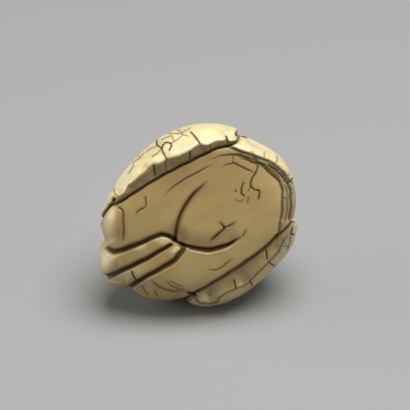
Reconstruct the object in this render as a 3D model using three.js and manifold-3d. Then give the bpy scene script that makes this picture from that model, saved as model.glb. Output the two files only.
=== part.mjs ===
// A netsuke: a cord toggle carved in one piece as a hatchling curled up inside its broken eggshell.
// Millimetres, +Z up. It stands on a small flat under the shell, and its carved side faces -Y and leans back.
// The carving is laid out on a drawing plane: u runs to the right, v up the plane and w out of it.
import * as THREE from 'three';
import { mergeVertices } from 'three/addons/utils/BufferGeometryUtils.js';
import Module from 'manifold-3d';

// Driving dimensions, in millimetres and degrees.
const WIDTH = 41.3; // across the carved side, short of the tips that stand out; lines are hundredths of it
const BODY_DEPTH = 9.5; // the hatchling's body, from the rim to the middle of the carved side
const SHELL_DEPTH = 15.5; // the same for the shell, if its broken front were whole
const BACK_DEPTH = 15.5; // the unbroken back of the shell, from the rim to its middle
const EGG_LENGTH = 44.5; // long axis of the egg
const EGG_BREADTH = 37.2; // short axis of the egg
const EGG_TURN = 30; // from the drawing plane's u to the egg's long axis
const LEAN = 35; // how far the drawing plane leans back from upright
const RIM_RISE = 0.27; // how far the rim comes forward for each millimetre up the plane
const RIM_TURN = -0.08; // and for each millimetre to the right
const FOOT_CUT = 0.9; // cut flat off the lowest point, so that the piece stands
const BODY_FLATNESS = 6; // how long the body stays flat before it rounds over to the rim; a ball's is 2
const SHELL_FLATNESS = 2.4;
const BACK_FLATNESS = 2.2;
const EGG_SHARE = 0.75; // share of the way to the rim within which the egg's own outline holds

const CUT_WIDTH = 1.7; // the deep cuts round the two bars
const CUT_DEPTH = 1.1;
const SEAM_WIDTH = 1.3; // the cuts where the shell meets the body
const SEAM_DEPTH = 0.8;
const FOLD_WIDTH = 1.5; // the fold round the thigh
const FOLD_DEPTH = 0.9;
const FOLD_DIP = 0.9; // how far the thigh sinks beside its fold
const FOLD_SPREAD = 4; // how far from the fold the dip reaches
const CREASE_WIDTH = 1.1; // shallow creases in the body
const CREASE_DEPTH = 0.6;
const SHELL_STEP = 0.6; // step down at each broken layer of the right rim
const STEP_SPREAD = 2.6; // how far outwards a step fades away
const CUT_TURN = 4; // how late the lines turn from cutting straight in to cutting towards the middle
const BEHIND_RIM = 5.4; // how deep behind the rim the carved lines run out

const CORD_HOLE = 3.6; // diameter of the cord channel
const CORD_SPACING = 11; // between the two mouths of the channel, on the back

const WALL = 0.9; // width of the slope down from a step or into a fold

const FINE = 1.3; // longest edges of the facets: beside carving, on the smooth front, on the back
const MEDIUM = 3;
const COARSE = 4.5;
const COARSE_FROM = -0.25; // height on the sphere of directions below which the facets are coarse
const FINE_REACH = 0.9; // how far from a carved line the facets stay fine
const GROWTH = 0.45; // how much longer the edges may be for each millimetre beyond that
const SPHERE_DETAIL = 9; // of the sphere that the facets start from
const HALVINGS = 3; // times that a facet's edges may be halved
const NEAR_END = 0.27; // share of an edge within which its end moves onto a line that crosses it
const SLIVER = 0.05; // share of an edge too short to cut off
const CHAIN_REACH = 2.6; // how far beside a line corners are looked at when facets are led along it
const FACE_ONLY = 0.985; // share of the way to the rim that corners on lines keep within

// The rim's outline, from part to part round the piece: degrees from u, then the reach from the middle
// at even steps, in hundredths of the width.
const RIM_PARTS = [
  { name: 'layered rim', from: -4, to: 65, reach: [47.5, 49.8, 50.2, 50.4, 47.4, 46.4] },
  { name: 'upper shell', from: 65, to: 165, reach: [48.5, 46.8, 44.5, 43.6, 46.1] },
  { name: 'cheek', from: 165, to: 196, reach: [47.2, 49.8, 49.8] },
  { name: 'bars', from: 196, to: 228, reach: [52.4, 56.7, 58.1, 51.8] },
  { name: 'belly', from: 228, to: 258, reach: [51.4, 50.7, 47.9, 44.2] },
  { name: 'lower shell', from: 258, to: 356, reach: [44.4, 47.4, 47.5, 46.8, 46.6, 48.2, 50.6, 51] },
];
const PART_BLEND = 3; // degrees over which one part of the rim gives way to the next

// Where each broken shell meets the body, and its ragged edge. The shell is on the left of each line.
const UPPER_SEAM = [
  [-51.5, -5.5], [-47, 2.5], [-44, 5.5], [-40.5, 6.5], [-20, 19.5], [0.5, 30], [9, 34], [17.5, 36], [20, 39],
  [21.5, 50],
];
const UPPER_EDGE = [
  [-52, -4.5], [-46.8, 4], [-44, 7.5], [-41.5, 9.5], [-37.6, 11.3], [-36.1, 14.9], [-28.9, 20.6], [-23.2, 25.8],
  [-20.1, 26], [-16, 28.4], [-9.8, 29.9], [0.5, 36.1], [4.6, 35.3], [13.9, 39.4], [15.5, 37.3], [19.3, 37.8],
  [22.5, 50],
];
const LOWER_SEAM = [
  [53, 4], [46, -5], [40.5, -10.5], [34, -17], [26.5, -22.5], [18.5, -28], [5.5, -36], [-3, -40.8], [-15, -48.5],
];
const LOWER_EDGE = [
  [54, 1.5], [46, -9], [42.3, -15.5], [36.1, -24.2], [26.3, -34.5], [23.2, -36.6], [14.9, -39.7], [9.3, -44.5],
  [5.7, -45.9], [0.5, -45.4], [-2.6, -41.8], [-12, -50],
];

const deepCut = { width: CUT_WIDTH, depth: CUT_DEPTH };
const seamCut = { width: SEAM_WIDTH, depth: SEAM_DEPTH, smooth: true };
const fold = { width: FOLD_WIDTH, depth: FOLD_DEPTH, dip: FOLD_DIP, smooth: true };
const crease = { width: CREASE_WIDTH, depth: CREASE_DEPTH, smooth: true };
const step = { width: WALL, depth: 0, step: SHELL_STEP };

// Every carved line: its points, whether it bends smoothly, and the shares of its length over which it
// fades in and out. A step raises the left of its line, and a fold's dip is on its left.
const CARVED_LINES = [
  { name: 'upper seam', at: UPPER_SEAM, ...seamCut, fade: [0.05, 0.2] },
  { name: 'lower seam', at: LOWER_SEAM, ...seamCut, fade: [0.03, 0.03] },
  {
    name: 'over the bars', ...deepCut, fade: [0, 0.05],
    at: [
      [-53, -11], [-48, -16.5], [-44.8, -19.2], [-41.8, -19.2], [-33, -15.7], [-19.6, -9.8], [-16, -10.6],
      [-11, -13.5],
    ],
  },
  {
    name: 'between the bars', ...deepCut, fade: [0, 0.05],
    at: [[-54, -35.5], [-40.7, -29.1], [-28, -23.1], [-13, -14.3]],
  },
  {
    name: 'under the bars', ...deepCut, fade: [0, 0.05],
    at: [[-41, -41.5], [-32, -34.5], [-16, -25.5], [-12, -22.8], [-8.6, -18.6], [-8, -16.5], [-10.5, -14]],
  },
  {
    name: 'thigh, upper fold', ...fold, fade: [0.5, 0],
    at: [[5.2, 18], [-0.5, 13], [-5.2, 7.9], [-8.4, 2.6], [-10.6, -2.6], [-11.9, -7.7], [-12.5, -12.5]],
  },
  {
    name: 'thigh, lower fold', ...fold, fade: [0, 0.15],
    at: [[-13, -13], [-4.6, -16.5], [3.1, -17.9], [8.2, -17.5], [14.5, -15.5], [22.7, -10.8]],
  },
  {
    name: 'cheek', ...crease, fade: [0.1, 0.2],
    at: [[-41.5, 4.5], [-38.9, 2], [-38.5, -3], [-38.4, -8], [-38.9, -15]],
  },
  {
    name: 'tail', ...crease, fade: [0.3, 0.3],
    at: [[9.8, -2.8], [12.8, -6.4], [10.8, -8.8], [8.2, -11.3], [5, -14.5]],
  },
  {
    name: 'rim, outer layer', ...step, fade: [0.12, 0.3],
    at: [
      [14, 36], [18.6, 34], [25.3, 32], [28.9, 30.4], [32.5, 29.9], [36.6, 28.4], [41.8, 24.2], [44.8, 20.6],
      [46.6, 18.2], [51, 16.5],
    ],
  },
  {
    name: 'rim, inner layer', ...step, fade: [0.3, 0],
    at: [
      [3, 27.5], [10.8, 30.2], [16, 30.7], [21.1, 30.4], [26.3, 27.3], [31.4, 25.8], [36.6, 21.1], [41, 17],
      [42.5, 12.9], [42.3, 2.6], [40.7, -8.8],
    ],
  },
];

// Soft swellings of the body: their place in hundredths of the width, their spread and their height.
const SWELLINGS = [
  { name: 'cheek', at: [-45, -3], spread: 2.8, height: 0.6 },
  { name: 'upper bar', at: [-44, -25], spread: 2.5, height: 0.4 },
  { name: 'shoulder', at: [-25, 5], spread: 6, height: 0.3 },
];

const CURVE_STEPS = 28;
const degrees = THREE.MathUtils.degToRad;
const { lerp, smoothstep, clamp } = THREE.MathUtils;

// Points of a line in hundredths of the width, turned to millimetres and bent smoothly if asked.
function laidOut(points, smooth = false) {
  const placed = points.map(([u, v]) => new THREE.Vector2(u, v).multiplyScalar(WIDTH / 100));
  return smooth ? new THREE.SplineCurve(placed).getPoints(CURVE_STEPS) : placed;
}

// How far a point is from a line, which side it is on (left is positive), how far along it lies, 0 to 1, and
// the line's nearest point.
function beside(line, u, v) {
  let best = { away: Infinity, cross: 0 };
  let travelled = 0;
  for (let i = 1; i < line.length; i++) {
    const a = line[i - 1];
    const du = line[i].x - a.x;
    const dv = line[i].y - a.y;
    const length = Math.hypot(du, dv);
    const share = clamp(((u - a.x) * du + (v - a.y) * dv) / length ** 2, 0, 1);
    const away = Math.hypot(u - a.x - share * du, v - a.y - share * dv);
    const cross = (du * (v - a.y) - dv * (u - a.x)) / length;
    const tie = Math.abs(away - best.away) < 1e-9;
    if (tie ? Math.abs(cross) > Math.abs(best.cross) : away < best.away) {
      const nearest = [a.x + share * du, a.y + share * dv];
      best = { away, cross, reached: travelled + share * length, nearest };
    }
    travelled += length;
  }
  return { ...best, signed: Math.sign(best.cross) * best.away, along: best.reached / travelled };
}

const upperShell = { seam: laidOut(UPPER_SEAM, true), edge: laidOut(UPPER_EDGE) };
const lowerShell = { seam: laidOut(LOWER_SEAM, true), edge: laidOut(LOWER_EDGE) };
const carvedLines = CARVED_LINES.map((line) => ({ ...line, path: laidOut(line.at, line.smooth) }));

// Reach of the whole egg's outline, an ellipse, at an angle from u.
function eggReach(angle) {
  const turned = angle - degrees(EGG_TURN);
  return 1 / Math.hypot(Math.cos(turned) / (EGG_LENGTH / 2), Math.sin(turned) / (EGG_BREADTH / 2));
}

// Reach of one part of the rim at an angle in degrees, by a smooth curve through its even steps.
function partReach(part, angle) {
  const share = clamp((angle - part.from) / (part.to - part.from), 0, 1);
  const position = share * (part.reach.length - 1);
  const i = Math.min(Math.floor(position), part.reach.length - 2);
  const pick = (k) => part.reach[clamp(k, 0, part.reach.length - 1)];
  const [before, start, end, after] = [pick(i - 1), pick(i), pick(i + 1), pick(i + 2)];
  const t = position - i;
  const slopes = [(end - before) / 2, (after - start) / 2];
  return (
    start + slopes[0] * t + (3 * (end - start) - 2 * slopes[0] - slopes[1]) * t ** 2 +
    (slopes[0] + slopes[1] - 2 * (end - start)) * t ** 3
  );
}

// Reach of the carved outline: the part that holds the angle, blended with its neighbour at the joint.
function rimReach(angle) {
  const turned = THREE.MathUtils.euclideanModulo(THREE.MathUtils.radToDeg(angle) + 4, 360) - 4;
  let weight = 0;
  let sum = 0;
  for (const part of RIM_PARTS) {
    for (const wrapped of [turned - 360, turned, turned + 360]) {
      const inside = Math.min(wrapped - part.from, part.to - wrapped);
      const share = smoothstep(inside, -PART_BLEND / 2, PART_BLEND / 2);
      weight += share;
      sum += share * partReach(part, wrapped);
    }
  }
  return (sum / weight) * (WIDTH / 100);
}

const bodyTop = (t) => BODY_DEPTH * Math.sqrt(1 - t ** BODY_FLATNESS);
const shellTop = (t) => SHELL_DEPTH * Math.sqrt(1 - t ** SHELL_FLATNESS);
const backTop = (t) => BACK_DEPTH * Math.sqrt(1 - t ** BACK_FLATNESS);

// Height of the carved side before its lines are cut: the body, and the two broken shells round it.
// Between its ragged edge and its seam, a shell shows the face of the break.
function frontTop(t, u, v) {
  for (const shell of [upperShell, lowerShell]) {
    const fromSeam = beside(shell.seam, u, v).signed;
    if (fromSeam <= 0) continue;
    const fromEdge = beside(shell.edge, u, v).signed;
    if (fromEdge >= 0) return shellTop(t);
    const edgeTop = shellTop(Math.min(1, t - fromEdge / Math.hypot(u, v)));
    return lerp(bodyTop(t), edgeTop, fromSeam / (fromSeam - fromEdge));
  }
  return bodyTop(t);
}

// How much the swellings and the carved lines raise or sink a point of the drawing plane.
function carving(u, v) {
  let height = 0;
  for (const swelling of SWELLINGS) {
    const [middle] = laidOut([swelling.at]);
    height += swelling.height * Math.exp(-((Math.hypot(u - middle.x, v - middle.y) / swelling.spread) ** 2));
  }
  for (const line of carvedLines) {
    const { away, signed, along } = beside(line.path, u, v);
    const [fadeIn, fadeOut] = line.fade ?? [0, 0];
    const strength = smoothstep(along, -0.001, fadeIn) * smoothstep(1 - along, -0.001, fadeOut);
    const side = smoothstep(signed, -WALL / 2, WALL / 2);
    height -= strength * line.depth * (1 - smoothstep(away, 0, line.width / 2));
    if (line.step) height += strength * side * line.step * Math.exp(-((away / STEP_SPREAD) ** 2));
    if (line.dip) height -= strength * side * line.dip * (1 - smoothstep(away, 0, FOLD_SPREAD));
  }
  return height;
}

// Reach of the outline that holds at a share t of the way to the rim: the egg's inside, the carved one outside.
const outlineReach = (angle, t) => lerp(eggReach(angle), rimReach(angle), smoothstep(t, EGG_SHARE, 1));

// Where a unit direction from the middle meets the drawing plane, at a share t of the way to the rim.
function placeOf(direction) {
  const t = Math.min(1, Math.hypot(direction.x, direction.y));
  const angle = Math.atan2(direction.y, direction.x);
  const reach = t * outlineReach(angle, t);
  return { t, angle, u: reach * Math.cos(angle), v: reach * Math.sin(angle) };
}

// The direction that meets the drawing plane at a place, or null where that is over the rim.
function directionTo(u, v) {
  const angle = Math.atan2(v, u);
  let t = Math.hypot(u, v) / eggReach(angle);
  for (let i = 0; i < 6; i++) t = Math.hypot(u, v) / outlineReach(angle, t);
  if (t > FACE_ONLY) return null;
  return new THREE.Vector3(t * Math.cos(angle), t * Math.sin(angle), Math.sqrt(1 - t ** 2));
}

// The surface point that a unit direction leads to, on the drawing plane's axes.
function surfacePoint(direction) {
  const { t, angle, u, v } = placeOf(direction);
  const front = direction.z >= 0;
  const w = front ? frontTop(t, u, v) : -backTop(t);
  const lift = carving(u, v) * (front ? 1 : smoothstep(w, -BEHIND_RIM, 0));
  const outward = t ** CUT_TURN; // the lines cut straight in on the face, and towards the middle at the rim
  const point = new THREE.Vector3(
    u + lift * outward * Math.cos(angle),
    v + lift * outward * Math.sin(angle),
    w + (front ? lift * Math.sqrt(1 - outward ** 2) : 0),
  );
  point.z += RIM_RISE * point.y + RIM_TURN * point.x;
  return point;
}

// The chains of corners that the facets need: along each line and both edges of its cut, and along the
// ragged edges of the shells.
const chains = [
  ...carvedLines.flatMap(({ path, width, depth }) =>
    [0, -width / 2, width / 2].slice(depth > 0 ? 0 : 1).map((offset) => ({ path, offset }))),
  { path: upperShell.edge, offset: 0 },
  { path: lowerShell.edge, offset: 0 },
];

// The longest edge that facets may have at a direction.
function facetSize(direction) {
  if (direction.z < COARSE_FROM) return COARSE;
  const { u, v } = placeOf(direction);
  const nearest = Math.min(...chains.map(({ path }) => beside(path, u, v).away));
  return Math.min(MEDIUM, FINE + GROWTH * Math.max(0, nearest - FINE_REACH));
}

// Puts a corner on each edge for which `corner` gives a direction, and cuts the triangles there.
function cutEdges(mesh, corner) {
  const found = new Map();
  const on = (a, b) => {
    const [low, high] = [Math.min(a, b), Math.max(a, b)];
    const key = `${low} ${high}`;
    if (!found.has(key)) {
      const direction = corner(low, high);
      found.set(key, direction ? mesh.directions.push(direction) - 1 : -1);
    }
    return found.get(key);
  };
  mesh.triangles = mesh.triangles.flatMap(([a, b, c]) =>
    splitTriangle([a, b, c], [on(a, b), on(b, c), on(c, a)]));
}

// Halves the edges that are too long.
function halve(mesh) {
  const points = mesh.directions.map(surfacePoint);
  cutEdges(mesh, (a, b) => {
    const middle = mesh.directions[a].clone().add(mesh.directions[b]).normalize();
    return points[a].distanceTo(points[b]) > facetSize(middle) ? middle : null;
  });
}

// Where a direction stands beside a chain: how far to its left, and the direction that lies on it.
function besideChain({ path, offset }, direction) {
  const { u, v } = placeOf(direction);
  const { away, signed, along, nearest: [nearU, nearV] } = beside(path, u, v);
  if (direction.z < 0 || away > Math.abs(offset) + CHAIN_REACH || along <= 0 || along >= 1) return null;
  const scale = offset === 0 ? 0 : offset / signed;
  const onChain = () => directionTo(nearU + scale * (u - nearU), nearV + scale * (v - nearV));
  return { left: signed - offset, onChain };
}

// Moves the corners beside a chain onto it, and puts new ones where other edges cross it.
function follow(mesh, chain) {
  const stands = mesh.directions.map((direction) => besideChain(chain, direction));
  const crossing = (a, b) => {
    if (!stands[a] || !stands[b] || stands[a].left * stands[b].left >= 0) return null;
    return stands[a].left / (stands[a].left - stands[b].left);
  };
  for (const [a, b, c] of mesh.triangles) {
    for (const [from, to] of [[a, b], [b, c], [c, a]]) {
      const share = crossing(from, to);
      const close = share !== null && share < NEAR_END ? from : share > 1 - NEAR_END ? to : null;
      const moved = close !== null && !mesh.settled.has(close) ? stands[close].onChain() : null;
      if (!moved) continue;
      mesh.directions[close] = moved;
      mesh.settled.add(close);
      stands[close].left = 0;
    }
  }
  cutEdges(mesh, (a, b) => {
    const share = crossing(a, b);
    if (share === null || share < SLIVER || share > 1 - SLIVER) return null;
    const between = mesh.directions[a].clone().lerp(mesh.directions[b], share).normalize();
    const corner = besideChain(chain, between)?.onChain() ?? null;
    if (corner) mesh.settled.add(mesh.directions.length);
    return corner;
  });
}

// A sphere of directions with corners along every chain, led out to the carved surface.
function carvedSolid(wasm) {
  const sphere = new THREE.IcosahedronGeometry(1, SPHERE_DETAIL);
  sphere.deleteAttribute('normal');
  sphere.deleteAttribute('uv');
  const merged = mergeVertices(sphere, 1e-4);
  const position = merged.getAttribute('position');
  const mesh = {
    directions: Array.from({ length: position.count }, (_, i) =>
      new THREE.Vector3().fromBufferAttribute(position, i).normalize()),
    triangles: Array.from({ length: merged.index.count / 3 }, (_, i) =>
      [0, 1, 2].map((k) => merged.index.getX(3 * i + k))),
    settled: new Set(),
  };
  for (let i = 0; i < HALVINGS; i++) halve(mesh);
  chains.forEach((chain) => follow(mesh, chain));
  const vertProperties = new Float32Array(mesh.directions.map(surfacePoint).flatMap((p) => [p.x, p.y, p.z]));
  const triVerts = new Uint32Array(mesh.triangles.flat());
  return new wasm.Manifold(new wasm.Mesh({ numProp: 3, vertProperties, triVerts }));
}

// A triangle cut through the new corners on its edges; a corner of -1 leaves that edge whole.
function splitTriangle([a, b, c], [ab, bc, ca]) {
  const cuts = [ab, bc, ca].filter((corner) => corner >= 0).length;
  if (cuts === 0) return [[a, b, c]];
  if (cuts === 3) return [[a, ab, ca], [ab, b, bc], [ca, bc, c], [ab, bc, ca]];
  if (ab < 0) return splitTriangle([b, c, a], [bc, ca, ab]);
  if (cuts === 1) return [[a, ab, c], [ab, b, c]];
  if (bc < 0) return splitTriangle([c, a, b], [ca, ab, bc]);
  return [[a, ab, c], [ab, b, bc], [ab, bc, c]];
}

// A closed three.js geometry as a solid for joining and cutting.
function solidOf(wasm, geometry) {
  geometry.deleteAttribute('normal');
  geometry.deleteAttribute('uv');
  const merged = mergeVertices(geometry, 1e-4);
  return new wasm.Manifold(
    new wasm.Mesh({
      numProp: 3,
      vertProperties: new Float32Array(merged.getAttribute('position').array),
      triVerts: new Uint32Array(merged.index.array),
    }),
  );
}

// The cord channel dips into the back in a half ring and comes out again beside where it went in.
function cordChannel(wasm) {
  const ring = new THREE.TorusGeometry(CORD_SPACING / 2, CORD_HOLE / 2, 14, 36);
  ring.rotateX(Math.PI / 2);
  ring.translate(0, 0, -BACK_DEPTH);
  return solidOf(wasm, ring);
}

// Everything below the foot's plane, to be cut off.
function belowFoot(wasm, lowest) {
  const size = 4 * WIDTH;
  const block = new THREE.BoxGeometry(size, size, size);
  block.translate(0, 0, lowest + FOOT_CUT - size / 2);
  return solidOf(wasm, block);
}

const wasm = await Module();
wasm.setup();
const leaning = carvedSolid(wasm).subtract(cordChannel(wasm)).rotate([90 - LEAN, 0, 0]);
const standing = leaning.subtract(belowFoot(wasm, leaning.boundingBox().min[2]));
const { min, max } = standing.boundingBox();
const placed = standing.translate([-(min[0] + max[0]) / 2, -(min[1] + max[1]) / 2, -min[2]]);

const { vertProperties, triVerts } = placed.getMesh();
const geometry = new THREE.BufferGeometry();
geometry.setAttribute('position', new THREE.BufferAttribute(vertProperties, 3));
geometry.setIndex(new THREE.BufferAttribute(triVerts, 1));
geometry.computeVertexNormals();

const ivory = new THREE.MeshStandardMaterial({ color: 0xd9c08c, roughness: 0.38, metalness: 0 });
const netsuke = new THREE.Mesh(geometry, ivory);
netsuke.name = 'netsuke';

const part = new THREE.Group();
part.add(netsuke);
export default part;
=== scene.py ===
"""A netsuke carved as a hatchling curled up in its broken eggshell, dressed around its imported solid."""

import math
import random

import bmesh
import bpy
import numpy as np
from mathutils import Matrix, Vector


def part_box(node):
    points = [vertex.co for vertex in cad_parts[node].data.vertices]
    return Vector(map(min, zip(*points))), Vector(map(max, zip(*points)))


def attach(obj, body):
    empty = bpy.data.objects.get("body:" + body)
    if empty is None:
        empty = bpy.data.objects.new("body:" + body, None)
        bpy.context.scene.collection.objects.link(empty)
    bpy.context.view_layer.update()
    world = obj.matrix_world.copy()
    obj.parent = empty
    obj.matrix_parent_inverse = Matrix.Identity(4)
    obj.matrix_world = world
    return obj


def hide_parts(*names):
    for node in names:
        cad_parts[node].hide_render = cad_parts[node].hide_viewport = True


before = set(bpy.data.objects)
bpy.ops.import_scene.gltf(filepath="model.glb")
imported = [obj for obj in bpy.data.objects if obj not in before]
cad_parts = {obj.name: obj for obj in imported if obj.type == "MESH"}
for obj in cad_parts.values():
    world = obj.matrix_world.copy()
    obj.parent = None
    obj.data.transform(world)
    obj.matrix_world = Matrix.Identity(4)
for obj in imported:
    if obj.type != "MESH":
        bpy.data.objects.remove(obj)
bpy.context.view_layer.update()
scene = bpy.context.scene

# The netsuke: one piece of polished ivory, yellowed by age, with dark stain rubbed into its lines.
# The carver worked a hatchling's back, cheek and folded legs inside the broken shell of its egg,
# left the back of the egg plain, and drilled it for the cord.
MM = 0.001  # lengths here are millimetres, on a drawing plane: u to the right, v up and w out of it
WIDTH = 41.3  # across the carved side, short of the tips that stand out; lines are hundredths of it
BODY_DEPTH = 9.5  # the hatchling's body, from the rim to the middle of the carved side
SHELL_DEPTH = 15.5  # the same for the shell, if its broken front were whole
BACK_DEPTH = 15.5  # the unbroken back of the shell, from the rim to its middle
BODY_FLATNESS = 6  # how long the body stays flat before it rounds over to the rim; a ball's is 2
SHELL_FLATNESS = 2.4
BACK_FLATNESS = 2.2
EGG_LENGTH = 44.5
EGG_BREADTH = 37.2
EGG_TURN = 30  # degrees from u to the egg's long axis
EGG_SHARE = 0.75  # share of the way to the rim within which the egg's own outline holds
LEAN = 35  # degrees that the drawing plane leans back from upright
RIM_RISE = 0.27  # how far the rim comes forward for each millimetre up the plane
RIM_TURN = -0.08  # and for each millimetre to the right
FOOT_CUT = 0.9  # cut flat off the lowest point, so that the piece stands

# The rim's outline, part by part: degrees from u, then reaches in hundredths of the width.
RIM_PARTS = [
    (-4, 65, [47.5, 49.8, 50.2, 50.4, 47.4, 46.4]),
    (65, 165, [48.5, 46.8, 44.5, 43.6, 46.1]),
    (165, 196, [47.2, 49.8, 49.8]),
    (196, 228, [52.4, 56.7, 58.1, 51.8]),
    (228, 258, [51.4, 50.7, 47.9, 44.2]),
    (258, 356, [44.4, 47.4, 47.5, 46.8, 46.6, 48.2, 50.6, 51]),
]
FIRST_DEGREE = -4  # where the first part starts
PART_BLEND = 3  # degrees over which one part of the rim gives way to the next

# Where each broken shell meets the body, and its ragged edge, in hundredths of the width.
UPPER_SEAM = [
    (-51.5, -5.5), (-47, 2.5), (-44, 5.5), (-40.5, 6.5), (-20, 19.5), (0.5, 30), (9, 34), (17.5, 36),
    (20, 39), (21.5, 50),
]
UPPER_EDGE = [
    (-52, -4.5), (-46.8, 4), (-44, 7.5), (-41.5, 9.5), (-37.6, 11.3), (-36.1, 14.9), (-33, 17.5),
    (-28.9, 20.6), (-26.3, 23.7), (-23.2, 25.8), (-20.1, 26), (-16, 28.4), (-9.8, 29.9), (-4.6, 32.5),
    (0.5, 36.1), (4.6, 35.3), (9.3, 37.6), (12.9, 38.1), (13.9, 39.4), (15.5, 37.3), (19.3, 37.8),
    (22.5, 50),
]
LOWER_SEAM = [
    (53, 4), (46, -5), (40.5, -10.5), (34, -17), (26.5, -22.5), (18.5, -28), (5.5, -36), (-3, -40.8),
    (-15, -48.5),
]
LOWER_EDGE = [
    (54, 1.5), (46, -9), (42.3, -15.5), (40.7, -19.1), (36.1, -24.2), (30.4, -29.9), (26.3, -34.5),
    (23.2, -36.6), (14.9, -39.7), (10.8, -42.3), (9.3, -44.8), (5.7, -45.9), (0.5, -45.4),
    (-2.6, -41.8), (-12, -50),
]

# How much pale skin each broken shell keeps, how grey its face of break is and how high its chips are.
BROKEN_SHELLS = [
    dict(seam=UPPER_SEAM, edge=UPPER_EDGE, skin=1.0, face=0.9, chips=0.16),
    dict(seam=LOWER_SEAM, edge=LOWER_EDGE, skin=0.35, face=0.1, chips=0.1),
]
CHIP_WAVE = 2.7  # length of the waves that the chips follow
EDGE_WANDER = 0.1  # how far the ragged edges wander, and over what length
EDGE_WAVE = 3.4
EDGE_ROUND = 0.7  # how wide handling has rounded the edges of the break, and how deep
EDGE_DROP = 0.4
WORKED_HEIGHT = 0.035  # the faint unevenness that the carver's scraper left
WORKED_WAVE = 5.3

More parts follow.
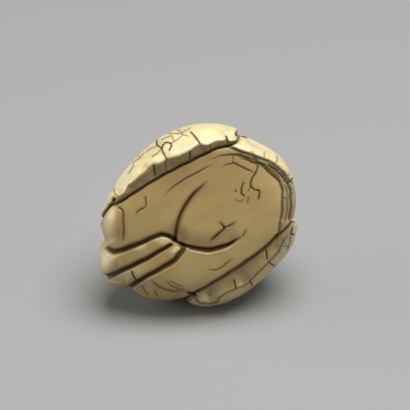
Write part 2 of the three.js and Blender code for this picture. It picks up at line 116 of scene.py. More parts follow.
# Every carved line: its width, depth, shares of its length over which it fades in and out, and points.
# It tapers to a share of its width, or swells in its middle. A step raises the left of its line, and a dip
# sinks it. Ink and halo say how dark its stain is, and how brown the ivory beside it. The skin of the
# shell, or its worn layers, may lie on the left too.
CARVED_LINES = {
    "upper seam": dict(
        width=1.0, depth=0.8, fade=(0.05, 0.2), ink=0.75, halo=0.7, smooth=True,
        at=UPPER_SEAM,
    ),
    "lower seam": dict(
        width=1.2, swell=0.2, depth=0.8, fade=(0.03, 0.03), ink=0.85, halo=0.8, smooth=True,
        at=LOWER_SEAM,
    ),
    "over the bars": dict(
        width=2.1, taper=0.7, depth=1.0, fade=(0.08, 0.05), halo=0.7,
        at=[(-47.9, -15.8), (-46, -18), (-43.5, -19), (-40.5, -18.4), (-33, -15.7), (-19.6, -9.8),
            (-16, -10.6), (-11, -13.5)],
    ),
    "between the bars": dict(
        width=2.2, taper=0.6, depth=1.0, fade=(0, 0.05), halo=0.7,
        at=[(-54, -35.5), (-40.7, -29.1), (-28, -23.1), (-13, -14.3)],
    ),
    "under the bars": dict(
        width=1.6, taper=1.2, depth=1.0, fade=(0, 0.05), halo=0.7,
        at=[(-41, -41.5), (-32, -34.5), (-16, -25.5), (-12, -22.8), (-8.6, -18.6), (-8, -16.5),
            (-10.5, -14)],
    ),
    "thigh, upper fold": dict(
        # Its wide brown halo is partly painted shade on the thigh beside the fold.
        width=0.9, taper=1.4, depth=0.55, dip=0.6, fade=(0.4, 0), ink=0.85, halo=1.5, smooth=True,
        at=[(5.2, 18), (-0.5, 13), (-5.2, 7.9), (-8.4, 2.6), (-10.6, -2.6), (-11.9, -7.7),
            (-12.5, -12.5)],
    ),
    "thigh, lower fold": dict(
        width=1.3, swell=0.35, depth=0.9, dip=0.9, fade=(0, 0.2), ink=0.95, smooth=True,
        at=[(-13, -13), (-4.6, -16.5), (3.1, -17.9), (8.2, -17.5), (14.5, -15.5), (22.7, -10.8)],
    ),
    "thigh, end of the fold": dict(
        width=0.6, depth=0.2, fade=(0.1, 0.5), ink=0.6, smooth=True,
        at=[(22.2, -11.2), (23.5, -8.8), (24.4, -6.5)],
    ),
    "cheek": dict(
        width=0.9, depth=0.4, fade=(0.1, 0.2), ink=0.5, halo=1.6, smooth=True,
        at=[(-41.5, 4.5), (-38.9, 2), (-38.5, -3), (-38.4, -8), (-38.9, -15)],
    ),
    "tail": dict(
        width=0.9, depth=0.45, fade=(0.3, 0.3), ink=0.75, halo=1.5, smooth=True,
        at=[(9.8, -2.8), (12.8, -6.4), (10.8, -8.8), (8.2, -11.3), (5, -14.5)],
    ),
    "tail, branch": dict(
        width=0.7, depth=0.3, fade=(0, 0.7), ink=0.75, smooth=True,
        at=[(12.8, -6.4), (16, -5.4), (19.5, -2.8)],
    ),
    "shoulder": dict(
        width=0.7, depth=0.25, fade=(0.4, 0.3), ink=0.7, smooth=True,
        at=[(-18.5, 9), (-10, 16.5), (7.5, 26)],
    ),
    "rim, edge of the skin": dict(
        width=0.6, depth=0.25, step=0.6, fade=(0.12, 0.2), ink=0.75, skin_outside=True,
        at=[(14, 35), (18.6, 33), (21.6, 31.6), (25.8, 30.3), (30, 28.8), (34.3, 26.9), (37, 25),
            (39.6, 23), (42.7, 19.7), (44.8, 17), (50, 15)],
    ),
    "rim, outer layer": dict(
        width=0.6, depth=0.3, step=0.3, fade=(0.1, 0.1), ink=0.8, halo=0.5,
        at=[(33, 26.5), (38.2, 22.6), (41.8, 19.3), (44.5, 16), (46, 12.9), (46.6, 9.8), (46.4, 4),
            (45.3, -4)],
    ),
    "rim, thin layer": dict(
        width=0.45, depth=0.2, fade=(0.1, 0.1), ink=0.65, halo=0.5,
        at=[(42.6, 16), (44.3, 13.4), (44.8, 9.8), (44.7, 2.6), (43.2, -4.6)],
    ),
    "rim, upper layer": dict(
        width=0.45, depth=0.2, step=0.25, fade=(0.1, 0.1), ink=0.7, halo=0.6,
        at=[(22.2, 30), (28, 27.9), (33, 25.3), (37.4, 21.8), (41, 18.2)],
    ),
    "rim, inner layer": dict(
        width=0.6, depth=0.25, step=0.5, fade=(0.3, 0), ink=0.7, halo=0.6, worn_outside=True,
        at=[(3, 27.5), (10.8, 30.2), (16, 30.7), (21.1, 30.4), (26.3, 27.3), (31.4, 25.8), (36.6, 21.1),
            (41, 17), (42.5, 12.9), (42.3, 2.6), (40.7, -8.8)],
    ),
    "rim, innermost line": dict(
        width=0.6, depth=0.2, step=0.15, fade=(0.3, 0.3), ink=0.7,
        at=[(11.3, 24.7), (16, 26), (18, 26.5), (24.2, 23.2), (29.4, 21.1)],
    ),
    "lower edge": dict(
        width=0.6, depth=0.15, fade=(0.05, 0.1), ink=0.6,
        at=LOWER_EDGE[1:],
    ),
    "neck": dict(
        width=0.8, depth=0.25, fade=(0.1, 0.2), ink=0.5, halo=1.4, smooth=True,
        at=[(-27.3, 10), (-27.3, 4.3), (-30.4, 2.1), (-32.5, -0.7)],
    ),
    "belly, long crease": dict(
        width=0.8, depth=0.3, fade=(0.2, 0.4), ink=0.5, halo=1.4, smooth=True,
        at=[(-24.7, -33), (-21.6, -36.1), (-17.5, -38.1), (-12.4, -39.2), (-5, -39.2)],
    ),
    "belly, short crease": dict(
        width=0.7, depth=0.25, fade=(0.3, 0.3), ink=0.45, halo=1.4, smooth=True,
        at=[(-17, -33.5), (-13.9, -36.6), (-9.8, -38.1), (-6, -38.3)],
    ),
    "flank": dict(
        width=0.7, depth=0.2, fade=(0.3, 0.4), ink=0.5, halo=1.2, smooth=True,
        at=[(4.1, -28), (8.2, -28.2), (11.9, -26.8), (15.5, -23.7), (18, -22)],
    ),
}
CURVE_STEPS = 28  # straight pieces in a line that bends smoothly
LINE_WANDER = 0.07  # how far the carver's lines wander, and over what length
LINE_WAVE = 4.1
WALL = 0.7  # width of the slope down from a step or into a fold
STEP_SPREAD = 2.6  # how far outwards a step fades away
FOLD_SPREAD = 4  # how far from a fold its dip reaches
CUT_TURN = 4  # how late the lines turn from cutting straight in to cutting towards the middle
BEHIND_RIM = 0.35  # share of the back's depth within which the lines run out behind the rim
WHOLE_END = 0.001  # keeps the end of a line whole where it doesn't fade
INK = 0.9
INK_REACH = (0.28, 0.88)  # the stain's edge, in half widths of its line
HALO_REACH = (0.4, 2.4)  # and the edge of the brown halo round it
INK_LASTS = 0.4  # below 1, the stain lasts longer than the cut where a line fades out
HALO_LASTS = 0.6
SKIN_EDGE = 0.05  # half width of the edge of the shell's skin
SKIN_SOFT = 1.2  # how much wider it is where it starts
SKIN_SHARPENS = (0, 0.2)  # shares of its line over which it sharpens, starts and ends
SKIN_STARTS = (0, 0.08)
SKIN_ENDS = (0.01, 0.03)
WORN_SHARE = 0.75  # how grey the worn layers of the rim are
WORN_EDGE = 0.2  # width of their inner edge, and where their outer one lies
WORN_REACH = (2.72, 3.4)

# Soft swellings of the body: place in hundredths of the width, spread and height in millimetres.
BULGES = [
    (-45, -3, 2.8, 0.6), (-25, 5, 6, 0.3), (-44, -25, 2.5, 0.4), (47, -5.5, 1.2, 0.3),
]

# Small pits filled with stain: place in hundredths of the width, radii across and along, turn and depth.
PITS = [
    (19.6, 42, 0.75, 0.4, 65, 0.8), (-43.6, 7.7, 0.65, 0.45, 65, 0.7), (18.6, 12.4, 0.28, 0.28, 0, 0.2),
    (-3.5, -40.8, 1.4, 0.5, -25, 0.4),
]
PIT_SLOPE = (0.2, 1.2)  # edges of a pit, of its stain and of its halo, in radii
PIT_STAIN = (0.6, 1.1)
PIT_HALO = (0.8, 2)

# Brown patches, partly stain rubbed into the ivory and partly painted shade, and pale patches, partly worn by
# handling and partly painted highlights and painted light: place in hundredths of the width, radii across and
# along in millimetres, turn in degrees and share.
BROWN_STAIN_AND_SHADE_PATCHES = [
    (-8.3, -10.5, 1.1, 1.7, 20, 1.1), (-40.4, -8.8, 0.6, 1.7, -15, 1.2),
    (11.5, -8.2, 1.6, 0.8, 45, 0.9), (-41.9, -24, 0.4, 1.2, 0, 1), (-38.4, -22.6, 0.35, 1.1, 0, 0.9),
    (-38.8, -34.3, 0.4, 1, 0, 0.9), (-33.6, -30.8, 0.4, 0.8, 20, 0.8), (-14, -37, 2.2, 0.9, -20, 0.5),
    (-32, 16.5, 4.2, 0.9, 42, 0.7), (14, 27.5, 7, 2.2, -10, 0.45), (-5, 22, 8, 3, 30, 0.35),
    (-27, 6, 5, 4, 30, 0.3), (-8, 42, 1.6, 0.5, 10, 0.5), (-20, 37, 1.2, 0.5, 30, 0.4),
    (-15, 5, 0.6, 0.6, 0, 0.4), (17, -35, 1.3, 1.6, 0, 0.5), (-27, 25, 0.8, 0.5, 30, 0.5),
    (-47, 6, 0.4, 0.7, -20, 0.5), (3, -14.5, 3.4, 0.8, 0, 0.7),
]
# Pale patches: painted highlights on the tips, lips and edges that catch the light, and painted light on the
# lower and right sides, with some wear of the high points.
PALE_HIGHLIGHT_AND_WEAR_PATCHES = [
    (-47.8, -22, 1.3, 2.4, 0, 1), (-46, -22.3, 1.8, 0.6, 15, 1), (-45, -3, 1.1, 2.4, -8, 0.9),
    (-18.5, -12.8, 2, 0.7, -10, 1), (-29.5, -16.4, 1.3, 0.5, 20, 0.8), (-12, -17.5, 1.4, 0.6, 28, 0.7),
    (-44, -34.3, 1.2, 0.3, -5, 0.6), (48.3, -6.4, 1.2, 1.5, 10, 1), (15, -16.8, 1.6, 0.25, 30, 0.5),
    (-34, -30, 3.4, 0.9, 30, 0.5), (4, -42.5, 3, 1, 10, 0.8), (48.6, 8, 0.8, 4, 0, 0.7),
    (-9, -17, 0.7, 1.2, -20, 0.7), (-3, -18.6, 2.2, 0.25, 0, 0.4), (-33.5, -37.5, 0.8, 0.4, -40, 0.4),
    (45.5, 17, 0.6, 1.2, -20, 0.5),
]
PATCH_EDGE = (0.3, 1.6)  # where a patch starts to fade and where it ends, in radii

# Cracks where the ivory has split with age: open ones, and others as fine as a hair, which are drawn
# wide enough to show.
OPEN_CRACKS = [
    [(29.9, 24.7), (28.9, 21.6), (26.8, 18), (26.3, 14.4), (28.4, 12.9), (30.9, 12.4), (30.9, 10.3),
        (30.4, 8.2)],
    [(22.7, 16.5), (21.6, 13.9), (21.6, 10.8), (23.2, 9.8)],
    [(-21.6, 38.7), (-21.6, 36.1), (-20.1, 34.8), (-19.1, 34)],
    [(-16.5, 28.4), (-17.5, 30.9), (-19.1, 33.5), (-18.6, 35.6), (-17, 37.1), (-14.4, 36.6),
        (-13.9, 35.1), (-14.9, 33)],
    [(-4.1, 42.3), (-1.5, 39.2), (0.5, 36.6)],
    [(-23.2, 25.3), (-22.7, 22.7), (-22.2, 20.6)],
    [(-4.6, 32.5), (-4.6, 28.9)],
    [(13.9, 40.2), (14.4, 36.6)],
    [(46.9, 22.7), (46.4, 18), (44.8, 16.5)],
    [(21.6, 40.2), (24.7, 39.4)],
    [(34.5, -18), (35.1, -22.7)],
    [(36.1, -24.2), (38.7, -26.3)],
    [(18, -33.5), (19.1, -38.1)],
    [(26.3, -34), (27.3, -36.1)],
    [(47, -6.4), (46.8, -9.4), (48.6, -10)],
    [(-34.5, -28.9), (-33.5, -31), (-32.5, -33)],
]
HAIR_CRACKS = [
    [(-29.4, -36.1), (-27.8, -38.7), (-26.3, -41.2)],
    [(26.3, 13.9), (24.7, 11.9)],
    [(25.3, 9.3), (24.7, 6.2)],
    [(19.1, 7.7), (21.1, 6.7), (22.7, 7.7)],
    [(-27.3, 32), (-25.3, 33.5), (-21.6, 35.1)],
    [(-19.1, 34), (-21.1, 31.4), (-23.7, 29.9)],
    [(-16, 41.8), (-12.9, 41.8), (-9.8, 41.8), (-6.7, 43.3), (-4.6, 44.3)],
    [(-19.1, 38.7), (-16.5, 39.7), (-13.9, 40.7), (-12.9, 37.6)],
    [(-13.9, 36.6), (-10.8, 38.7), (-8.2, 41.2)],
    [(-11.3, 43.8), (-9.3, 42.8), (-8.2, 41.2), (-5.7, 40.2)],
    [(-33.5, 26.8), (-30.4, 28.9), (-28.4, 31.4)],
    [(-36.1, 21.1), (-33.5, 24.7), (-33.5, 26.8)],
    [(-30.4, 28.9), (-31.4, 31.4)],
    [(-16.5, 28.4), (-17, 25.8), (-16.8, 22.7)],
    [(5.2, 35.6), (6.2, 33)],
    [(17, 30.4), (17, 26.8)],
    [(20, 30.2), (22, 28.4), (24.7, 27.8)],
    [(27.3, 29.9), (29.4, 27.8)],
    [(32.6, 31), (32.4, 28)],
    [(38.7, 29.5), (38.5, 27), (37.4, 25)],
    [(26.3, 31.4), (28.4, 28.4), (29.9, 24.2)],
    [(35.6, 24.7), (39.7, 22.2)],
    [(44.5, 20.6), (42.3, 17)],
    [(46.4, 12.9), (45.4, 9.8), (46.4, 6.7)],
    [(42.4, 8.8), (44, 8.2)],
    [(-43.8, 13.4), (-42.3, 9.8)],
    [(-44.5, 6.7), (-47, 4.6)],
    [(46.8, -9.4), (46.6, -14.4), (45.4, -17.5)],
    [(43.3, -12), (42.3, -14.5)],
    [(43.3, -16), (45.9, -16)],
    [(-3.1, -41.8), (-1, -44.8)],
    [(-22.7, -39.2), (-21.1, -41.8)],
    [(-14.4, -34), (-11.9, -35.6), (-8.8, -36.6)],
]
OPEN_WIDTH = 0.46
HAIR_WIDTH = 0.32
OPEN_INK = 1.0
HAIR_INK = 0.7
CRACK_DEPTH = 0.16
CRACK_SLOPE = (0, 0.5)  # edges of a crack, of its stain and of its halo, in widths
CRACK_STAIN = (0.2, 0.55)
CRACK_HALO = (0, 2.2)
CRACK_BROWN = 0.35  # how brown the halo of a crack is
BACK_CRACKS = 14
BACK_CRACK_SEED = 11
BACK_CRACK_STEPS = (3, 9)
BACK_CRACK_STEP = 1.5
BACK_CRACK_REACH = (2, 17)  # how far from the middle of the back they start
BACK_CRACK_BEND = 0.7  # radians that they turn by at each step

# Longest edges of the facets, and how much longer they may be for each millimetre further from a line.
LINE_EDGE = 0.21
CRACK_EDGE = 0.19
SMOOTH_EDGE = 0.6
BACK_EDGE = 0.8
COARSE_FROM = -0.25  # height on the sphere of directions below which the facets are the back's
LINE_REACH = 0.75
CRACK_REACH = 0.2
GROWTH = 0.3
SLACK = 1.4  # a longer edge than this many times its limit is halved
HALVINGS = 4


def rise(x, low, high):
    share = np.clip((x - low) / (high - low), 0, 1)
    return share * share * (3 - 2 * share)


def fall(x, low, high):
    return 1 - rise(x, low, high)


def curve(p0, p1, p2, p3, t):
    """The smooth curve from p1 to p2 that also looks to the points before and after them."""
    v0 = (p2 - p0) / 2
    v1 = (p3 - p1) / 2
    return (2 * p1 - 2 * p2 + v0 + v1) * t**3 + (3 * p2 - 3 * p1 - 2 * v0 - v1) * t**2 + v0 * t + p1


def laid_out(points, smooth=False):
    """Points of a line in hundredths of the width, turned to millimetres and bent smoothly if asked."""
    placed = np.array(points) * WIDTH / 100
    if not smooth:
        return placed
    last = len(placed) - 1
    at = np.linspace(0, last, CURVE_STEPS + 1)
    start = np.minimum(at.astype(int), last - 1)
    around = [placed[np.clip(start + k, 0, last)] for k in (-1, 0, 1, 2)]
    return curve(*around, (at - start)[:, None])


def beside(path, u, v):
    """How far each point is from a line, the same with a sign (left is positive), and its share along."""
    away = np.full(u.shape, np.inf)
    best = np.zeros(u.shape)
    reached = np.zeros(u.shape)
    travelled = 0
    for (au, av), (bu, bv) in zip(path, path[1:]):
        du, dv = bu - au, bv - av
        length = math.hypot(du, dv)
        share = np.clip(((u - au) * du + (v - av) * dv) / length**2, 0, 1)
        distance = np.hypot(u - au - share * du, v - av - share * dv)
        cross = (du * (v - av) - dv * (u - au)) / length
        tie = np.abs(distance - away) < 1e-9
        nearer = np.where(tie, np.abs(cross) > np.abs(best), distance < away)
        away = np.where(nearer, distance, away)
        best = np.where(nearer, cross, best)
        reached = np.where(nearer, travelled + share * length, reached)
        travelled += length
    return away, np.sign(best) * away, reached / travelled


def ripple(u, v, length, phase):
    """A gentle wandering between -1 and 1: three crossing waves, about as long as the given length."""
    k = 2 * math.pi / length
    one = np.sin(k * (0.91 * u + 0.42 * v) + phase)
    two = np.sin(k * (-0.38 * u + 1.07 * v) + 2.3 * phase + 1.1)
    three = np.sin(k * 1.9 * (0.66 * u - 0.83 * v) + 0.7 * phase + 2.9)
    return (one + two + 0.6 * three) / 2.6


def oval(u, v, place):
    """How far each point is from an oval's middle, in its radii: centre, two radii and turn are its place."""
    centre_u, centre_v, across, along, turn = place[:5]
    du = u - centre_u * WIDTH / 100
    dv = v - centre_v * WIDTH / 100
    cos = math.cos(math.radians(turn))
    sin = math.sin(math.radians(turn))
    return np.hypot((du * cos + dv * sin) / across, (dv * cos - du * sin) / along)


def rim_reach(angle):
    """Reach of the carved outline: the part that holds the angle, blended with its neighbour at the joint."""
    turned = (np.degrees(angle) - FIRST_DEGREE) % 360 + FIRST_DEGREE
    weight = 0
    total = 0
    for low, high, reach in RIM_PARTS:
        reach = np.array(reach)
        last = len(reach) - 1
        for wrapped in (turned - 360, turned, turned + 360):
            inside = np.minimum(wrapped - low, high - wrapped)
            share = rise(inside, -PART_BLEND / 2, PART_BLEND / 2)
            position = np.clip((wrapped - low) / (high - low), 0, 1) * last
            start = np.minimum(position.astype(int), last - 1)
            around = [reach[np.clip(start + k, 0, last)] for k in (-1, 0, 1, 2)]
            weight = weight + share
            total = total + share * curve(*around, position - start)
    return total / weight * WIDTH / 100


def egg_reach(angle):
    turned = angle - math.radians(EGG_TURN)
    return 1 / np.hypot(np.cos(turned) / (EGG_LENGTH / 2), np.sin(turned) / (EGG_BREADTH / 2))


def place_of(directions):
    """Where each direction meets the drawing plane: its share of the way to the rim, angle, u and v."""
    t = np.minimum(1, np.hypot(directions[:, 0], directions[:, 1]))
    angle = np.arctan2(directions[:, 1], directions[:, 0])
    share = rise(t, EGG_SHARE, 1)
    reach = t * (egg_reach(angle) * (1 - share) + rim_reach(angle) * share)
    return t, angle, reach * np.cos(angle), reach * np.sin(angle)


def dome(t, depth, flatness):
    return depth * np.sqrt(np.clip(1 - t**flatness, 0, 1))


def back_cracks():
    """Cracks that wander over the plain back of the shell."""
    dice = random.Random(BACK_CRACK_SEED)
    cracks = []
    for _ in range(BACK_CRACKS):
        turn = dice.uniform(0, 2 * math.pi)
        far = dice.uniform(*BACK_CRACK_REACH)
        place = [far * math.cos(turn), far * math.sin(turn)]
        heading = dice.uniform(0, 2 * math.pi)
        crack = [tuple(place)]
        for _ in range(dice.randint(*BACK_CRACK_STEPS)):
            heading += dice.uniform(-BACK_CRACK_BEND, BACK_CRACK_BEND)
            place[0] += BACK_CRACK_STEP * math.cos(heading)
            place[1] += BACK_CRACK_STEP * math.sin(heading)
            crack.append(tuple(place))
        cracks.append(np.array(crack))
    return cracks


lines = [(line, laid_out(line["at"], line.get("smooth", False))) for line in CARVED_LINES.values()]
shells = [(shell, laid_out(shell["seam"], True), laid_out(shell["edge"])) for shell in BROKEN_SHELLS]
open_cracks = [laid_out(crack) for crack in OPEN_CRACKS]
hair_cracks = [laid_out(crack) for crack in HAIR_CRACKS]
rear_cracks = back_cracks()


def front_top(t, u, v):
    """Height of the carved side before its lines are cut, and where it is shell and where the break shows."""
    height = dome(t, BODY_DEPTH, BODY_FLATNESS)
    skin = np.zeros(t.shape)
    broken = np.zeros(t.shape)
    far = np.maximum(np.hypot(u, v), 1e-6)
    ragged = EDGE_WANDER * ripple(u, v, EDGE_WAVE, phase=0.4)
    for shell, seam, edge in shells:
        from_seam = beside(seam, u, v)[1]
        from_edge = beside(edge, u, v)[1] + ragged
        inside = from_seam > 0
        whole = inside & (from_edge >= 0)
        face = inside & (from_edge < 0)
        edge_top = dome(np.minimum(1, t - from_edge / far), SHELL_DEPTH, SHELL_FLATNESS)
        share = np.where(face, from_seam / np.where(face, from_seam - from_edge, 1), 0)
        sloped = dome(t, BODY_DEPTH, BODY_FLATNESS) * (1 - share) + edge_top * share
        chips = shell["chips"] * np.abs(ripple(u, v, CHIP_WAVE, phase=1.7)) * np.sin(math.pi * share)
        near_edge = 1 - np.clip(np.abs(from_edge) / EDGE_ROUND, 0, 1)
        height = np.where(whole, dome(t, SHELL_DEPTH, SHELL_FLATNESS), height)
        height = np.where(face, sloped - chips, height)
        height = np.where(inside, height - EDGE_DROP * near_edge**2, height)
        skin = np.where(whole, shell["skin"], skin)
        broken = np.where(face, shell["face"], broken)
    return height, skin, broken


def deepen(carving, name, share):
    """Raise the share of stain, halo, shell or broken to at least the given one."""
    carving[name] = np.maximum(carving[name], share)


def cut_lines(carving, u, v, over_rim):
    """Cut the lines, raise the steps beside them, and rub them with stain."""
    for line, path in lines:
        away, signed, along = beside(path, u, v)
        left = rise(signed, -WALL / 2, WALL / 2)
        fade_in, fade_out = line["fade"]
        strength = rise(along, -WHOLE_END, fade_in) * rise(1 - along, -WHOLE_END, fade_out) * over_rim
        half = line["width"] / 2 * (1 + (line.get("taper", 1) - 1) * along)
        half *= 1 + line.get("swell", 0) * np.cos(2 * math.pi * (along - 0.5))
        carving["lift"] -= strength * line["depth"] * fall(away / half, 0, 1)
        carving["lift"] += strength * left * line.get("step", 0) * np.exp(-((away / STEP_SPREAD) ** 2))
        carving["lift"] -= strength * left * line.get("dip", 0) * fall(away, 0, FOLD_SPREAD)
        ink = line.get("ink", INK)
        brown = ink * line.get("halo", 1)
        deepen(carving, "stain", ink * strength**INK_LASTS * fall(away / half, *INK_REACH))
        deepen(carving, "halo", brown * strength**HALO_LASTS * fall(away / half, *HALO_REACH))
        if line.get("skin_outside"):
            outside = rise(signed, -SKIN_EDGE, SKIN_EDGE + SKIN_SOFT * fall(along, *SKIN_SHARPENS))
            deepen(carving, "shell", outside * rise(along, *SKIN_STARTS) * rise(1 - along, *SKIN_ENDS))
        if line.get("worn_outside"):
            worn = WORN_SHARE * strength * rise(signed, 0, WORN_EDGE) * fall(away, *WORN_REACH)
            deepen(carving, "broken", worn * (1 - carving["shell"]))


def paint_stain_shade_and_highlight_patches(carving, u, v, over_rim):
    """Paint the brown patches, stain and painted shade, and the pale patches, wear and painted highlights."""
    # Painted shade as well as stain: brown patches under the rounded lip of the upper shell, over the top of
    # the carved side and beside the thigh folds and the cheek.
    for brown in BROWN_STAIN_AND_SHADE_PATCHES:
        deepen(carving, "halo", over_rim * brown[5] * fall(oval(u, v, brown), *PATCH_EDGE))
    # Painted highlights as well as wear: pale patches take the shell's colour on tips, edge lips and the
    # lower and right sides.
    for pale in PALE_HIGHLIGHT_AND_WEAR_PATCHES:
        deepen(carving, "shell", pale[5] * fall(oval(u, v, pale), *PATCH_EDGE))


def sink_pits(carving, u, v, over_rim):
    for pit in PITS:
        far = oval(u, v, pit)
        carving["lift"] -= pit[5] * fall(far, *PIT_SLOPE)
        deepen(carving, "stain", over_rim * fall(far, *PIT_STAIN))
        deepen(carving, "halo", over_rim * fall(far, *PIT_HALO))


def open_the_cracks(carving, u, v, front):
    split = [(path, front, OPEN_WIDTH, OPEN_INK) for path in open_cracks]
    split += [(path, front, HAIR_WIDTH, HAIR_INK) for path in hair_cracks]
    split += [(path, ~front, HAIR_WIDTH, HAIR_INK) for path in rear_cracks]
    for path, there, width, ink in split:
        away = beside(path, u, v)[0] / width
        carving["lift"] -= there * CRACK_DEPTH * fall(away, *CRACK_SLOPE)
        deepen(carving, "stain", there * ink * fall(away, *CRACK_STAIN))
        deepen(carving, "halo", there * CRACK_BROWN * fall(away, *CRACK_HALO))


def surface(directions, cracked=False):
    """The carved point that each direction leads to, and its shares of stain, halo, shell and broken."""
    t, angle, u, v = place_of(directions)
    front = directions[:, 2] >= 0
    line_u = u + LINE_WANDER * ripple(u, v, LINE_WAVE, phase=0.2)
    line_v = v + LINE_WANDER * ripple(u, v, LINE_WAVE, phase=3.1)
    top, skin, broken = front_top(t, line_u, line_v)
    w = np.where(front, top, -dome(t, BACK_DEPTH, BACK_FLATNESS))
    over_rim = np.where(front, 1, rise(w, -BEHIND_RIM * BACK_DEPTH, 0))
    carving = {"stain": np.zeros(t.shape), "halo": np.zeros(t.shape), "shell": skin, "broken": broken}
    carving["lift"] = WORKED_HEIGHT * ripple(u, v, WORKED_WAVE, phase=5.3)
    for bulge_u, bulge_v, spread, height in BULGES:
        far = np.hypot(u - bulge_u * WIDTH / 100, v - bulge_v * WIDTH / 100)
        carving["lift"] += height * np.exp(-((far / spread) ** 2))
    cut_lines(carving, line_u, line_v, over_rim)
    paint_stain_shade_and_highlight_patches(carving, u, v, over_rim)
    sink_pits(carving, u, v, over_rim)
    if cracked:
        open_the_cracks(carving, line_u, line_v, front)
    carving["shell"] = 1 - (1 - carving["shell"]) * over_rim
    carving["broken"] = carving["broken"] * over_rim

    lift = carving.pop("lift") * over_rim
    outward = t**CUT_TURN
    upward = np.where(front, np.sqrt(np.clip(1 - outward**2, 0, 1)), 0)
    u_out = u + lift * outward * np.cos(angle)
    v_out = v + lift * outward * np.sin(angle)
    w_out = w + lift * upward + RIM_RISE * v_out + RIM_TURN * u_out
    return np.stack([u_out, v_out, w_out], axis=1), carving


def allowed_edge(directions):
    """The longest edge that facets may have at each direction."""
    _, _, u, v = place_of(directions)
    front = directions[:, 2] > COARSE_FROM
    paths = [path for _, path in lines] + [edge for _, _, edge in shells]
    to_line = np.min([beside(path, u, v)[0] for path in paths], axis=0)
    to_front_crack = np.min([beside(path, u, v)[0] for path in open_cracks + hair_cracks], axis=0)
    to_rear_crack = np.min([beside(path, u, v)[0] for path in rear_cracks], axis=0)
    to_crack = np.where(directions[:, 2] >= 0, to_front_crack, to_rear_crack)
    beside_line = LINE_EDGE + GROWTH * np.maximum(0, to_line - LINE_REACH)
    beside_crack = CRACK_EDGE + GROWTH * np.maximum(0, to_crack - CRACK_REACH)
    size = np.minimum(np.where(front, SMOOTH_EDGE, BACK_EDGE), beside_crack)
    return np.where(front, np.minimum(size, beside_line), size)


def directions_of(mesh):
    spots = np.array([vert.co[:] for vert in mesh.verts])
    return spots / np.linalg.norm(spots, axis=1, keepdims=True)


# A sphere of directions, refined beside each line and crack, is led out to the carved surface.
sphere = bmesh.new()
bmesh.ops.create_icosphere(sphere, subdivisions=6, radius=1)
for _ in range(HALVINGS):
    sphere.verts.ensure_lookup_table()
    sphere.verts.index_update()
    towards = directions_of(sphere)
    points, _ = surface(towards)
    edges = list(sphere.edges)
    ends = np.array([(edge.verts[0].index, edge.verts[1].index) for edge in edges])
    lengths = np.linalg.norm(points[ends[:, 0]] - points[ends[:, 1]], axis=1)
    middles = towards[ends[:, 0]] + towards[ends[:, 1]]
    middles /= np.linalg.norm(middles, axis=1, keepdims=True)
    long = lengths > SLACK * allowed_edge(middles)
    halved = [edges[i] for i in np.nonzero(long)[0]]
    bmesh.ops.subdivide_edges(sphere, edges=halved, cuts=1, use_grid_fill=True)
    bmesh.ops.triangulate(sphere, faces=[face for face in sphere.faces if len(face.verts) > 3])
points, finish = surface(directions_of(sphere), cracked=True)

# Stand it up: lean the drawing plane back, cut the foot flat and fit it to the solid's box.
lean = math.radians(LEAN)
depth = points[:, 1] * math.sin(lean) - points[:, 2] * math.cos(lean)
height = points[:, 1] * math.cos(lean) + points[:, 2] * math.sin(lean)
foot = height.min() + FOOT_CUT
upright = np.stack([points[:, 0], depth, np.maximum(height, foot)], axis=1)
low, high = (np.array(corner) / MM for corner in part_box("netsuke"))
shift = (low + high) / 2 - (upright.min(axis=0) + upright.max(axis=0)) / 2
shift[2] = low[2] - foot
for vert, spot in zip(sphere.verts, (upright + shift) * MM):
    vert.co = spot
bmesh.ops.recalc_face_normals(sphere, faces=sphere.faces)
for face in sphere.faces:
    face.smooth = True
carved = bpy.data.meshes.new("carved_netsuke")
sphere.to_mesh(carved)
sphere.free()
for name, values in finish.items():
    layer = carved.attributes.new(name, "FLOAT", "POINT")
    layer.data.foreach_set("value", values.astype(np.float32))
netsuke = bpy.data.objects.new("carved_netsuke", carved)
scene.collection.objects.link(netsuke)

# The cord channel: two round holes in the back, bored so that they meet inside, for the cord to pass
# through. A ring-shaped drill, half sunk in the back, cuts it out of the piece.
CORD_HOLE = 3.6
CORD_SPACING = 11
HOLE_SIDES = 28
RING_STEPS = 64
MERGE = 0.001  # points of the drill that are closer than this are one point

drill = bmesh.new()
ring = bmesh.ops.create_circle(drill, segments=HOLE_SIDES, radius=CORD_HOLE / 2)["verts"]
bmesh.ops.rotate(drill, verts=ring, matrix=Matrix.Rotation(math.pi / 2, 3, "X"))
bmesh.ops.translate(drill, verts=ring, vec=(CORD_SPACING / 2, 0, 0))
bmesh.ops.spin(
    drill,
    geom=drill.verts[:] + drill.edges[:],
    axis=(0, 0, 1),
    cent=(0, 0, 0),
    steps=RING_STEPS,
    angle=2 * math.pi,
    use_merge=True,
)
bmesh.ops.remove_doubles(drill, verts=drill.verts, dist=MERGE)
bmesh.ops.recalc_face_normals(drill, faces=drill.faces)
onto_back = Matrix.Translation(shift) @ Matrix.Rotation(math.pi / 2 - lean, 4, "X")
onto_back = onto_back @ Matrix.Translation((0, 0, -BACK_DEPTH)) @ Matrix.Rotation(math.pi / 2, 4, "X")
bmesh.ops.transform(drill, matrix=Matrix.Scale(MM, 4) @ onto_back, verts=drill.verts)
for face in drill.faces:
    face.smooth = True
drill_mesh = bpy.data.meshes.new("drill")
drill.to_mesh(drill_mesh)
drill.free()
drill_object = bpy.data.objects.new("drill", drill_mesh)
scene.collection.objects.link(drill_object)
cut = netsuke.modifiers.new("cord_channel", "BOOLEAN")
cut.operation = "DIFFERENCE"
cut.solver = "EXACT"
cut.object = drill_object
seen = netsuke.evaluated_get(bpy.context.evaluated_depsgraph_get())
drilled = bpy.data.meshes.new_from_object(seen)
netsuke.modifiers.clear()
netsuke.data = drilled
bpy.data.objects.remove(drill_object)


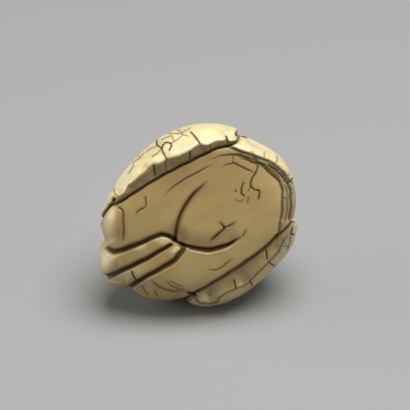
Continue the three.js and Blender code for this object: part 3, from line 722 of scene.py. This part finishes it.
def linear(code, alpha=1.0):
    """A colour given as an sRGB hex code, as the linear values that a shader takes."""
    parts = [int(code[i:i + 2], 16) / 255 for i in (1, 3, 5)]
    return tuple(p / 12.92 if p <= 0.04045 else ((p + 0.055) / 1.055) ** 2.4 for p in parts) + (alpha,)


def add_node(tree, kind, settings=None, inputs=None):
    """A node of the given kind, with its settings, and its inputs as values or as links from sockets."""
    made = tree.nodes.new(kind)
    for name, value in (settings or {}).items():
        setattr(made, name, value)
    for name, value in (inputs or {}).items():
        if isinstance(value, bpy.types.NodeSocket):
            tree.links.new(value, made.inputs[name])
        else:
            made.inputs[name].default_value = value
    return made


# Ivory, carved, rubbed with dark stain and polished by hand: a warm, slightly waxy gloss, browner where the
# carving holds stain and where brown patches paint shade, paler where pale patches paint highlights, and
# greyer and matt on the broken faces of the shell.
# The shell's colour also paints the highlights of the pale patches, and the halo's brown the shade of the
# brown patches.
SHELL_COLOUR = "#e4d7a6"
BODY_COLOUR = "#aa945e"
BROKEN_COLOUR = "#8a7f56"
HALO_COLOUR = "#8a6a3a"
STAIN_COLOUR = "#35260f"
TINT_COLOUR = "#a5875c"
MOTTLE_SIZE = 6 * MM  # clouds of brown where hands have rubbed it
TINT_SIZE = 2.2 * MM  # smaller stains within them
GRAIN_SIZE = 0.8 * MM  # growth lines of the tusk, drawn coarser than real ones so that they show
PORE_SIZE = 0.25 * MM  # pores, drawn coarser too
PORE_DEPTH = 0.05 * MM
WAVE_SPACING = 0.314  # a wave texture's own spacing at a scale of 1
MOTTLE_MIX = 0.42  # how far each of these, and the halo of a line, covers the ivory
TINT_MIX = 0.35
GRAIN_MIX = 0.05
HALO_MIX = 0.6
POLISHED = 0.36  # roughness of the polished ivory, and of the stain
STAINED = 0.62
POLISHED_SHEEN = 0.5  # how strongly they mirror the light
STAINED_SHEEN = 0.15
IVORY_IOR = 1.54

ivory = bpy.data.materials.new("stained_ivory")
ivory.use_nodes = True
tree = ivory.node_tree
tree.nodes.clear()
place = add_node(tree, "ShaderNodeTexCoord").outputs["Object"]
shares = {
    name: add_node(tree, "ShaderNodeAttribute", {"attribute_name": name}).outputs["Fac"]
    for name in ("shell", "broken", "halo", "stain")
}
mottle = add_node(
    tree,
    "ShaderNodeTexNoise",
    None,
    {"Vector": place, "Scale": 1 / MOTTLE_SIZE, "Detail": 4.0},
)
mottled = add_node(
    tree,
    "ShaderNodeMapRange",
    None,
    {"Value": mottle.outputs["Fac"], "From Min": 0.3, "From Max": 0.8, "To Max": MOTTLE_MIX},
)
tint = add_node(
    tree,
    "ShaderNodeTexNoise",
    None,
    {"Vector": place, "Scale": 1 / TINT_SIZE, "Detail": 6.0},
)
tinted = add_node(
    tree,
    "ShaderNodeMapRange",
    None,
    {"Value": tint.outputs["Fac"], "From Min": 0.5, "From Max": 0.75, "To Max": TINT_MIX},
)
grain = add_node(
    tree,
    "ShaderNodeTexWave",
    {"wave_type": "RINGS", "rings_direction": "Y"},
    {
        "Vector": place,
        "Scale": WAVE_SPACING / GRAIN_SIZE,
        "Distortion": 5.0,
        "Detail": 2.0,
        "Detail Scale": 2.0,
    },
)
grained = add_node(tree, "ShaderNodeMapRange", None, {"Value": grain.outputs["Fac"], "To Max": GRAIN_MIX})
# The halo share holds the stain beside the lines and the painted shade of the brown patches.
halo_and_shade = add_node(tree, "ShaderNodeMapRange", None, {"Value": shares["halo"], "To Max": HALO_MIX})
colour = linear(BODY_COLOUR)
for share, over in (
    (shares["shell"], SHELL_COLOUR),
    (shares["broken"], BROKEN_COLOUR),
    (mottled.outputs["Result"], HALO_COLOUR),
    (tinted.outputs["Result"], TINT_COLOUR),
    (grained.outputs["Result"], HALO_COLOUR),
    (halo_and_shade.outputs["Result"], HALO_COLOUR),
    (shares["stain"], STAIN_COLOUR),
):
    layer = add_node(tree, "ShaderNodeMix", {"data_type": "RGBA"}, {0: share, 6: colour, 7: linear(over)})
    colour = layer.outputs[2]
rough = add_node(
    tree,
    "ShaderNodeMix",
    {"data_type": "FLOAT"},
    {0: shares["stain"], 2: POLISHED, 3: STAINED},
)
sheen = add_node(
    tree,
    "ShaderNodeMix",
    {"data_type": "FLOAT"},
    {0: shares["stain"], 2: POLISHED_SHEEN, 3: STAINED_SHEEN},
)
pores = add_node(
    tree,
    "ShaderNodeTexNoise",
    None,
    {"Vector": place, "Scale": 1 / PORE_SIZE, "Detail": 2.0},
)
bump = add_node(
    tree,
    "ShaderNodeBump",
    None,
    {"Height": pores.outputs["Fac"], "Strength": 0.12, "Distance": PORE_DEPTH},
)
shader = add_node(
    tree,
    "ShaderNodeBsdfPrincipled",
    None,
    {
        "Base Color": colour,
        "Roughness": rough.outputs[0],
        "IOR": IVORY_IOR,
        "Specular IOR Level": sheen.outputs[0],
        "Normal": bump.outputs["Normal"],
    },
)
add_node(tree, "ShaderNodeOutputMaterial", None, {"Surface": shader.outputs["BSDF"]})
drilled.materials.append(ivory)
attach(netsuke, "root")
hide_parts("netsuke")

# The floor: a sheet of plain paper laid flat under the piece. Its uncoated fibres give the eye an even,
# matt grey that shows the soft shadow.
FLOOR_SIZE = 4
PAPER_COLOUR = "#919291"
PAPER_ROUGHNESS = 0.9

bpy.ops.mesh.primitive_plane_add(size=FLOOR_SIZE)
floor = bpy.context.object
floor.name = "floor"
paper = bpy.data.materials.new("pale_paper")
paper.use_nodes = True
paper_shader = paper.node_tree.nodes["Principled BSDF"]
paper_shader.inputs["Base Color"].default_value = linear(PAPER_COLOUR)
paper_shader.inputs["Roughness"].default_value = PAPER_ROUGHNESS
floor.data.materials.append(paper)

# Light: one large soft window above, a weak card low on the left and a weaker one on the right side,
# in a dim room. Each has its shape, size in metres, power in watts and place, and faces the piece.
LIGHTS = {
    "window": ("DISK", 0.5, 5.4, (0.1, -0.04, 0.58)),
    "card": ("SQUARE", 0.4, 2.0, (-0.5, 0, 0.08)),
    "side": ("SQUARE", 0.4, 0.8, (0.5, -0.15, 0.06)),
}
ROOM_COLOUR = "#ffffff"
ROOM_LIGHT = 0.13

for name, (shape, size, power, spot) in LIGHTS.items():
    light = bpy.data.lights.new(name, "AREA")
    light.shape = shape
    light.size = size
    light.energy = power
    light_object = bpy.data.objects.new(name, light)
    light_object.location = spot
    light_object.rotation_euler = (-Vector(spot)).to_track_quat("-Z", "Y").to_euler()
    scene.collection.objects.link(light_object)
scene.world = bpy.data.worlds.new("room")
scene.world.use_nodes = True
room = scene.world.node_tree.nodes["Background"]
room.inputs["Color"].default_value = linear(ROOM_COLOUR)
room.inputs["Strength"].default_value = ROOM_LIGHT
scene.view_settings.view_transform = "Standard"

# The camera looks straight onto the drawing plane, from a metre away with a long lens.
FIELD = 87.2 * MM  # width of what it sees at the piece
DISTANCE = 1.0
AIM = (1.28, 2.13)  # the point of the drawing plane in the middle of its view
SENSOR = 36
camera = bpy.data.cameras.new("camera")
camera.sensor_width = SENSOR
camera.lens = SENSOR * DISTANCE / FIELD
camera_object = bpy.data.objects.new("camera", camera)
scene.collection.objects.link(camera_object)
aim = Vector((AIM[0], AIM[1] * math.sin(lean), AIM[1] * math.cos(lean))) + Vector(shift)
away = Vector((0, -math.cos(lean), math.sin(lean)))
camera_object.location = aim * MM + away * DISTANCE
camera_object.rotation_euler = (-away).to_track_quat("-Z", "Y").to_euler()
scene.camera = camera_object
